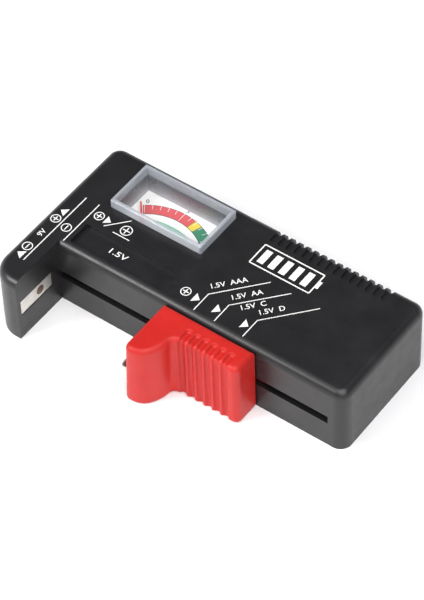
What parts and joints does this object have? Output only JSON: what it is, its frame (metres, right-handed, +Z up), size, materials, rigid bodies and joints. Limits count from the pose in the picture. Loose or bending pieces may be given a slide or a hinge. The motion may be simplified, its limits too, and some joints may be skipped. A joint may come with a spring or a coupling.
{
  "type": "battery tester",
  "caption": "Analogue battery tester: moulded case with a side arm, a spring-leaf contact slider that travels in a front slot, and a needle meter under a clear lens.",
  "frame": {"origin": "middle of the underside of the whole object's bounding box", "axes": "+X along the case from the arm end to the other end, +Y from the slider side to the back, +Z up through the meter window"},
  "size_m": [0.11, 0.0606, 0.027],
  "materials": {
    "black_case": "near-black fine-textured moulded ABS, satin on the rounded edges",
    "red_plastic": "bright red moulded plastic, semi-gloss with light handling wear",
    "white_plastic": "white moulded meter housing, satin",
    "dial_card": "printed white card, matt, with coloured scale bands",
    "clear_lens": "clear polished acrylic",
    "needle_red": "red lacquered pointer",
    "nickel": "nickel-plated spring contact, lightly brushed",
    "brass": "plain brass",
    "steel": "bright zinc-plated steel",
    "soft_iron": "turned soft iron",
    "magnet": "ground magnet",
    "copper": "enamelled copper",
    "resistor_body": "lacquered resistor body",
    "black_wire": "PVC insulation",
    "red_wire": "PVC insulation"
  },
  "bodies": {
    "case": {"upper_case": "black_case", "base_cover": "black_case", "cover_screw_rear_left": "steel", "cover_screw_rear_right": "steel", "cover_screw_front_right": "steel", "cover_screw_arm": "steel", "fixed_contact_plate": "nickel", "fixed_contact_rivet": "nickel", "nine_volt_contact_minus": "nickel", "nine_volt_contact_plus": "nickel", "bus_bar": "brass", "meter_lens": "clear_lens", "meter_body": "white_plastic", "dial_plate": "dial_card", "yoke_ring": "soft_iron", "core_magnet": "magnet", "core_lug_front": "brass", "core_lug_rear": "brass", "upper_bridge": "brass", "upper_jewel_screw": "brass", "lower_jewel_screw": "brass", "hairspring_upper": "copper", "hairspring_lower": "copper", "needle_stop_left": "steel", "needle_stop_right": "steel", "meter_terminal_plus": "brass", "meter_terminal_minus": "brass", "load_resistor": "resistor_body", "nine_volt_resistor": "resistor_body", "wire_fixed_contact": "black_wire", "wire_nine_volt_minus": "black_wire", "wire_nine_volt_plus": "red_wire", "wire_bus_bar": "red_wire", "wire_nine_volt_to_meter": "red_wire", "wire_load_to_meter": "red_wire"},
    "slider": {"slider_grip": "red_plastic", "slider_carriage": "red_plastic", "slider_contact_rivet": "nickel", "slider_contact_strap": "brass", "slider_wiper": "brass", "carriage_screw_left": "steel", "carriage_screw_right": "steel"},
    "contact_leaf": {"slider_contact_leaf": "nickel"},
    "movement": {"moving_coil": "copper", "spindle_upper": "steel", "spindle_lower": "steel", "needle": "needle_red", "needle_counterweight": "steel"}
  },
  "joints": [
    {"name": "slider_travel", "type": "slide", "parent": "case", "child": "slider", "axis": [1, 0, 0], "range_m": [-0.0342, 0.0264]},
    {"name": "leaf_flex", "type": "hinge", "parent": "slider", "child": "contact_leaf", "pos_m": [-0.00805, -0.01437, 0.0085], "axis": [0, 0, 1], "range_deg": [0, 4.5], "stiffness_Nm_per_rad": 0.15},
    {"name": "needle_swing", "type": "hinge", "parent": "case", "child": "movement", "pos_m": [-0.025, 0.00303, 0.0189], "axis": [0, 0, -1], "range_deg": [0, 77.6], "stiffness_Nm_per_rad": 0.0001}
  ]
}
